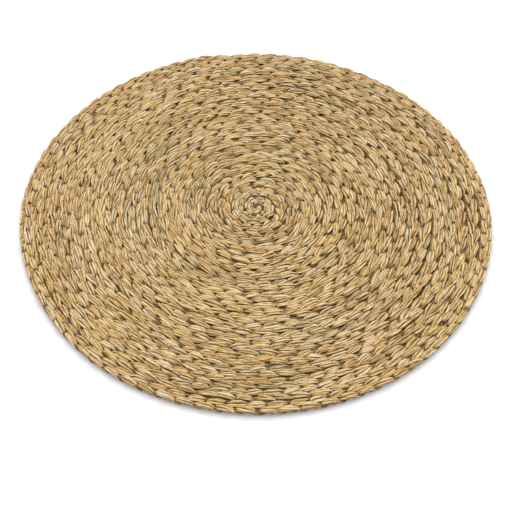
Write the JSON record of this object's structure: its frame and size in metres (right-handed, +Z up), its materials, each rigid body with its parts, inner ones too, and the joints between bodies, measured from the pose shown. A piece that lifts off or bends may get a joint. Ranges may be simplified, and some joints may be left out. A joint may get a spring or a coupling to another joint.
{
  "type": "seagrass placemat",
  "caption": "Flat round table mat coiled from one continuous plait of dried seagrass, with a ribbed spiral top and a softly uneven rim.",
  "frame": {"origin": "middle of the underside, on the surface that the mat lies on", "axes": "+Z up through the mat's thickness; -Y towards the front of the pictured view; the plait's outer end is at the back, near +Y"},
  "size_m": [0.3708, 0.3709, 0.008],
  "materials": {
    "seagrass": "matt dried seagrass leaf, straw to ochre with grey-green strands"
  },
  "bodies": {
    "root": {"mat": "seagrass"}
  },
  "joints": []
}
